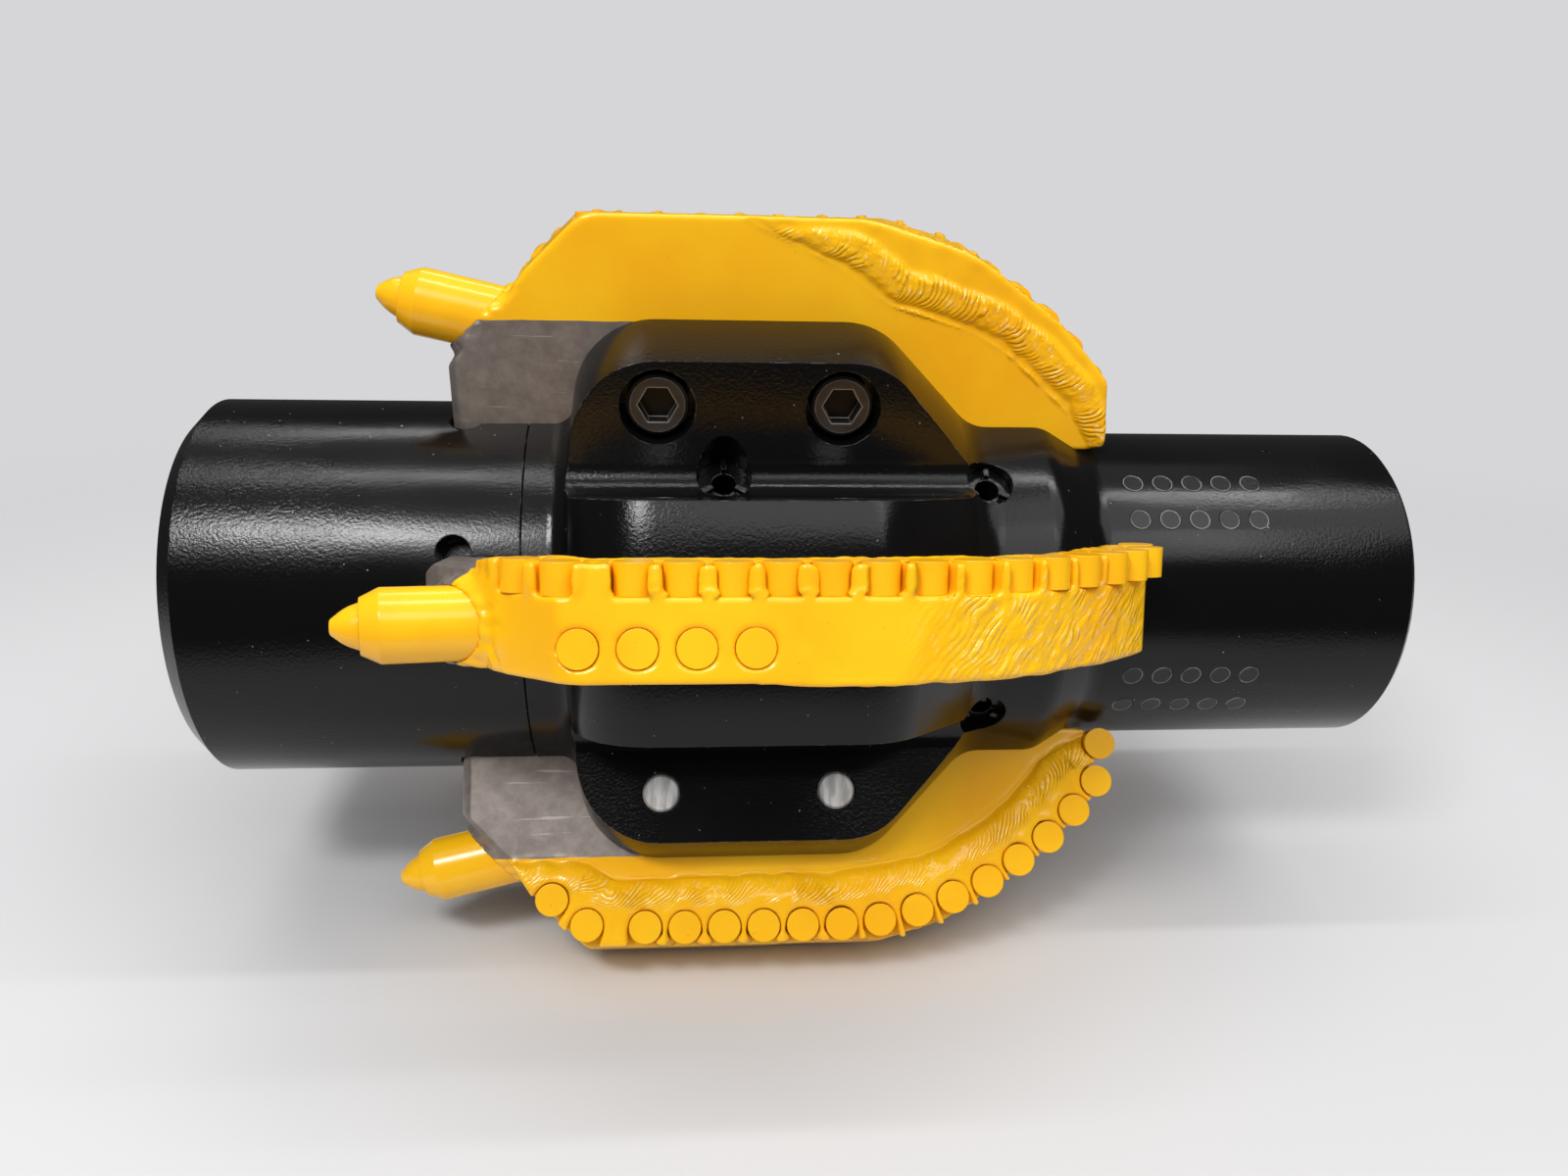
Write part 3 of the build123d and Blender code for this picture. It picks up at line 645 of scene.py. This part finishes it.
def wing_paint():
    """The yellow coat with its weld marks, which leaves the lug as bare steel."""
    paint = Finish("wing_paint")
    colour, normal, unevenness = yellow_coat(paint)
    spot = paint.attribute("spot")
    x, w, r = paint.split(spot)
    phase, rippled, near = paint.split(paint.attribute("weld"))

    saw = phase.math("FRACT")
    arch = saw * (1 - saw) * 4
    clear = paint.step(paint.noise(70, 2), 0.36, 0.62)
    normal = paint.bump((arch * clear + paint.noise(260, 3) * 1.1) * rippled, 0.85 * mm, normal)
    # painted highlight: pale glints on the crests of the ripples
    crest_highlight = paint.step(arch, 0.86, 1.0) * paint.step(paint.noise(170, 2), 0.53, 0.64) * rippled
    colour = paint.blend(crest_highlight * 0.6, colour, painted_crest_highlight)
    # painted shade: a broken brown ring at the edge of each cutter, where the gap between disc and paint
    # lies in shadow
    ring = paint.step(near, -0.35, 0.0) * (1 - paint.step(near, 0.25, 0.6))
    colour = paint.blend(ring * paint.step(paint.noise(45, 1), 0.3, 0.5) * 0.75, colour, painted_ring_shade)

    waver = paint.noise(60, 2) * 1.6
    bare = paint.step(mask_radius - r - waver, -0.15, 0.15) * paint.step(mask_end - x, 0, 1)
    steel, steel_roughness = lug_steel(paint, spot)
    roughness = (0.15 + unevenness - rippled * 0.06) * (1 - bare) + steel_roughness * bare
    return paint.feed(Base_Color=paint.blend(bare, colour, steel), Normal=normal, Roughness=roughness,
                      Metallic=bare * 0.55)


# %% [markdown]
# ## Screws
# The screws are oxidised dark, with painted shade deep in their counterbores and pale edges that are partly
# wear and partly a painted highlight. Their far ends are ground flush and bright.

# %% Screws
oxide = rgb(54, 50, 48)
pale_oxide = rgb(82, 77, 74)
counterbore_shade = rgb(14, 13, 13)
ground_steel = rgb(200, 196, 191)
ground_bright = rgb(250, 248, 245)
worn_edge_and_highlight = rgb(205, 200, 194)
ground_end = 57.7
head_top = -60.2


def screw_steel(number):
    """Dark oxide with painted shade below the head's top and pale edges that are partly wear and partly a
    painted highlight, ground bright on the end that shows on the wing's leading side.
    """
    steel = Finish(f"screw_steel_{number}")
    upright = steel.node("ShaderNodeVectorRotate", {"rotation_type": "X_AXIS"}, {
        "Vector": steel.place(), "Center": (0, axis_y, axis_z), "Angle": wing_angle(number)})[0]
    across = steel.split(upright)[1]
    end = steel.step(across, axis_y + (ground_end - 0.1) * mm, axis_y + (ground_end + 0.1) * mm)
    # painted shade: darker more than about 4 mm in from the head's top, down in the counterbore
    deep_shade = steel.step(across, axis_y + head_top * mm, axis_y + (head_top + 4.2) * mm)
    cuts = steel.noise(1.0, 2, place=steel.stretch(upright, (260, 30, 60)))
    shine = steel.blend(steel.step(cuts, 0.35, 0.65), ground_steel, ground_bright)
    dark = steel.blend(steel.noise(80, 3), oxide, pale_oxide)
    dark = steel.blend(deep_shade * 0.75, dark, counterbore_shade)
    # pale edges: partly worn steel, partly a painted highlight
    dark = steel.blend(steel.edges(1.5 * mm, 0.02, 0.16) * 0.8, dark, worn_edge_and_highlight)
    normal = steel.bump(steel.noise(500, 2) + cuts * end, 0.06 * mm, steel.rounded(0.6 * mm))
    return steel.feed(Base_Color=steel.blend(end, dark, shine), Normal=normal,
                      Metallic=0.7 - end * 0.55, Roughness=0.36 - end * 0.04)


# %% [markdown]
# ## Dressing the tool
# Every node takes the finish of its family. A screw needs its wing's number, to find its ends.

# %% Paint the nodes
black_finish = black_paint()
yellow_finish = yellow_paint()
finishes = {
    "body": black_finish, "left_sub": black_finish, "mid_nozzle": black_finish, "front_nozzle": black_finish,
    "wear_buttons": button_paint(), "wing": yellow_finish, "cutters": yellow_finish,
    "gauge_inserts": yellow_finish, "bit_body": yellow_finish, "bit_tip": yellow_finish,
}
wing_finish = wing_paint()


def paint(obj, material):
    """Give an object one material."""
    obj.data.materials.clear()
    obj.data.materials.append(material)


for name, obj in nodes.items():
    family = name if name in finishes else name.rsplit("_", 1)[0]
    if family == "wing_screws":
        paint(obj, screw_steel(int(name[-1])))
    else:
        paint(obj, finishes[family])

# %% [markdown]
# The five wings replace the plain ones. Each keeps its x, w and r and its weld marks as attributes.

# %% Five welded wings
for number in range(1, wing_count + 1):
    spot, marks = welded(number)
    world = tool_point(number, spot[:, 0], spot[:, 2], spot[:, 1])
    mesh = bpy.data.meshes.new(f"welded_wing_{number}")
    mesh.from_pydata(world, [], skin_faces)
    mesh.shade_smooth()
    for label, values in (("spot", spot), ("weld", marks)):
        attribute = mesh.attributes.new(label, "FLOAT_VECTOR", "POINT")
        attribute.data.foreach_set("vector", values.astype(np.float32).ravel())
    wing = bpy.data.objects.new(f"welded_wing_{number}", mesh)
    bpy.context.scene.collection.objects.link(wing)
    paint(wing, wing_finish)
    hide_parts(f"wing_{number}")
    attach(wing, "root")

# %% [markdown]
# ## Studio
# A plain pale floor and soft light from above. The floor keeps the shadow and fades out at its far
# edge into a backdrop of the same grey, so that no horizon shows.

# %% Floor
backdrop = rgb(214, 214, 216)
floor_grey = rgb(208, 208, 209)


def floor_finish():
    """Pale floor that keeps the shadow and ends softly."""
    pale = Finish("pale_floor", Roughness=0.75, Specular_IOR_Level=0.15, Base_Color=floor_grey)
    x, y, z = pale.split(pale.place())
    away = (x * x * 0.45 + y * y).math("SQRT")
    return pale.feed(Alpha=1 - pale.step(away, 0.45, 1.15))


floor_mesh = bpy.data.meshes.new("floor")
half = 3.0
corners = [(-half, -half, 0), (half, -half, 0), (half, half, 0), (-half, half, 0)]
floor_mesh.from_pydata(corners, [], [(0, 1, 2, 3)])
floor = bpy.data.objects.new("floor", floor_mesh)
bpy.context.scene.collection.objects.link(floor)
paint(floor, floor_finish())

# %% [markdown]
# The backdrop is as bright as written to the camera, and dimmer where it gives light or is reflected.

# %% World
light_strength = 0.55
reflected_strength = 0.08


def studio_world():
    """Pale grey to the camera; dimmer as light, and dimmer still in reflections."""
    world = bpy.data.worlds.new("studio")
    world.use_nodes = True
    tree = world.node_tree
    background = tree.nodes["Background"]
    background.inputs["Color"].default_value = backdrop
    rays = tree.nodes.new("ShaderNodeLightPath")
    dim = tree.nodes.new("ShaderNodeMapRange")
    dim.inputs["To Min"].default_value = light_strength
    dim.inputs["To Max"].default_value = reflected_strength
    tree.links.new(rays.outputs["Is Glossy Ray"], dim.inputs["Value"])
    seen = tree.nodes.new("ShaderNodeMath")
    seen.operation = "MAXIMUM"
    tree.links.new(rays.outputs["Is Camera Ray"], seen.inputs[0])
    tree.links.new(dim.outputs[0], seen.inputs[1])
    tree.links.new(seen.outputs[0], background.inputs["Strength"])
    return world


bpy.context.scene.world = studio_world()


# %% [markdown]
# A panel and two strips make the narrow highlights. The right panel, the ceiling and the front lamp
# fill softly.

# %% Lamps
def lamp(name, place, aim, size, power):
    """An area lamp (width, depth) at a place, facing a point."""
    light = bpy.data.lights.new(name, "AREA")
    light.shape = "RECTANGLE"
    light.size, light.size_y = size
    light.energy = power
    obj = bpy.data.objects.new(name, light)
    obj.location = place
    obj.rotation_euler = (Vector(aim) - Vector(place)).to_track_quat("-Z", "Y").to_euler()
    bpy.context.scene.collection.objects.link(obj)
    return obj


lamp("panel", (-0.76, -1.14, 1.8), (-0.28, -0.08, 0.28), (0.62, 0.3), 18)
lamp("strip_over", (0.1, 0.0, 1.8), (0.1, 0, 0.3), (2.2, 0.07), 10)
lamp("strip_back", (-0.5, 1.2, 1.8), (-0.2, 0, 0.3), (1.2, 0.1), 4)
lamp("panel_right", (1.1, -0.5, 1.8), (0.3, 0, 0.28), (1.3, 1.0), 7)
lamp("ceiling", (0.0, 0.0, 2.6), (0, 0, 0), (3.0, 3.0), 11)
lamp("front", (0.0, -1.4, 1.9), (0, 0, 0.2), (2.8, 0.7), 15)

# %% [markdown]
# ## Camera
# The camera was found by matching the turned ends and the wings to the photograph. Its lens and
# shift belong to a picture 36 mm wide.

# %% Camera
camera_data = bpy.data.cameras.new("camera")
camera_data.lens = 27.753
camera_data.sensor_width = 36
camera_data.shift_x = 0.0025
camera_data.shift_y = 0.0302
camera = bpy.data.objects.new("camera", camera_data)
camera.location = (-0.0776, -0.7117, 0.5180)
camera.rotation_euler = (radians(63.613), radians(-1.781), radians(-4.403))
bpy.context.scene.collection.objects.link(camera)
bpy.context.scene.camera = camera
bpy.context.scene.view_settings.view_transform = "Standard"
